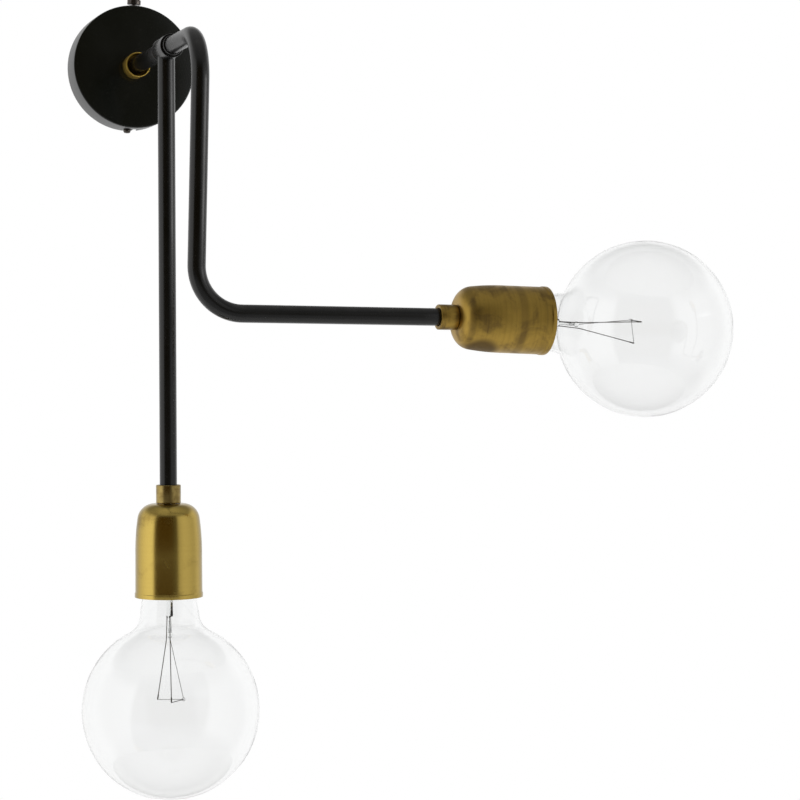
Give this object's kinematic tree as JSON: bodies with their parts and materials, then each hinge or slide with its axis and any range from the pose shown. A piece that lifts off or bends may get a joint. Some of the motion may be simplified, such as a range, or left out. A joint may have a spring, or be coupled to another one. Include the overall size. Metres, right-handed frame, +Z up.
{
  "type": "wall lamp",
  "caption": "Wall lamp with a round canopy, a swivel collar, a straight and a bent tube arm, brass lamp holders and clear globe bulbs.",
  "frame": {"origin": "centre of the canopy's back, on the wall plane", "axes": "+Z up, +Y into the wall, -Y out of the wall along the stem, +X to the right as seen from the room"},
  "size_m": [0.4411, 0.2857, 0.5741],
  "materials": {
    "canopy_enamel": "gloss",
    "black_paint": "satin",
    "black_screw": "satin",
    "antique_brass": "brushed, aged",
    "brass_fitting": "bright",
    "zinc_steel": "zinc plated",
    "spring_steel": "oiled",
    "fibre_washer": "matt",
    "block_plastic": "matt",
    "lead_sleeve": "matt",
    "porcelain": "glazed",
    "clear_glass": "clear",
    "mount_glass": "clear",
    "black_glass": "gloss",
    "bulb_cap_metal": "lacquered",
    "nickel_wire": "drawn",
    "filament_wire": "drawn"
  },
  "bodies": {
    "wall_base": {"base_collar": "antique_brass", "block_screws": "zinc_steel", "canopy": "canopy_enamel", "canopy_nipple": "zinc_steel", "canopy_nut": "zinc_steel", "earth_screw": "brass_fitting", "lower_rim_screw": "black_screw", "stem_flange": "zinc_steel", "stem_lead": "lead_sleeve", "stem_tube": "black_paint", "terminal_block": "block_plastic", "tooth_washer": "zinc_steel", "upper_rim_screw": "black_screw", "wall_strap": "zinc_steel"},
    "straight_arm": {"tee_collar": "black_paint", "snap_rings": "spring_steel", "rear_friction_washer": "fibre_washer", "front_friction_washer": "fibre_washer", "straight_arm_tube": "black_paint", "straight_lead": "lead_sleeve", "straight_ferrule": "antique_brass", "straight_holder_nipple": "zinc_steel", "straight_holder_cup": "antique_brass", "straight_lock_nut": "zinc_steel", "straight_holder_body": "porcelain", "straight_screw_shell": "brass_fitting", "straight_holder_contacts": "brass_fitting", "straight_terminal_screws": "zinc_steel", "straight_bulb_glass": "clear_glass", "straight_bulb_cap": "bulb_cap_metal", "straight_cap_insulator": "black_glass", "straight_cap_contact": "brass_fitting", "straight_glass_mount": "mount_glass", "straight_lead_wires": "nickel_wire", "straight_filament_support": "nickel_wire", "straight_filament": "filament_wire"},
    "bent_arm": {"bent_arm_flange": "zinc_steel", "cover_ring": "black_paint", "bent_arm_tube": "black_paint", "bent_lead": "lead_sleeve", "bent_ferrule": "antique_brass", "bent_holder_nipple": "zinc_steel", "bent_holder_cup": "antique_brass", "bent_lock_nut": "zinc_steel", "bent_holder_body": "porcelain", "bent_screw_shell": "brass_fitting", "bent_holder_contacts": "brass_fitting", "bent_terminal_screws": "zinc_steel", "bent_bulb_glass": "clear_glass", "bent_bulb_cap": "bulb_cap_metal", "bent_cap_insulator": "black_glass", "bent_cap_contact": "brass_fitting", "bent_glass_mount": "mount_glass", "bent_lead_wires": "nickel_wire", "bent_filament_support": "nickel_wire", "bent_filament": "filament_wire"}
  },
  "joints": [
    {"name": "straight_arm_swivel", "type": "hinge", "parent": "wall_base", "child": "straight_arm", "pos_m": [0, -0.125, 0], "axis": [0, -1, 0], "range_deg": [-165, 165]},
    {"name": "bent_arm_swivel", "type": "hinge", "parent": "straight_arm", "child": "bent_arm", "pos_m": [0, -0.139, 0], "axis": [0, -1, 0], "range_deg": [-165, 165]}
  ]
}
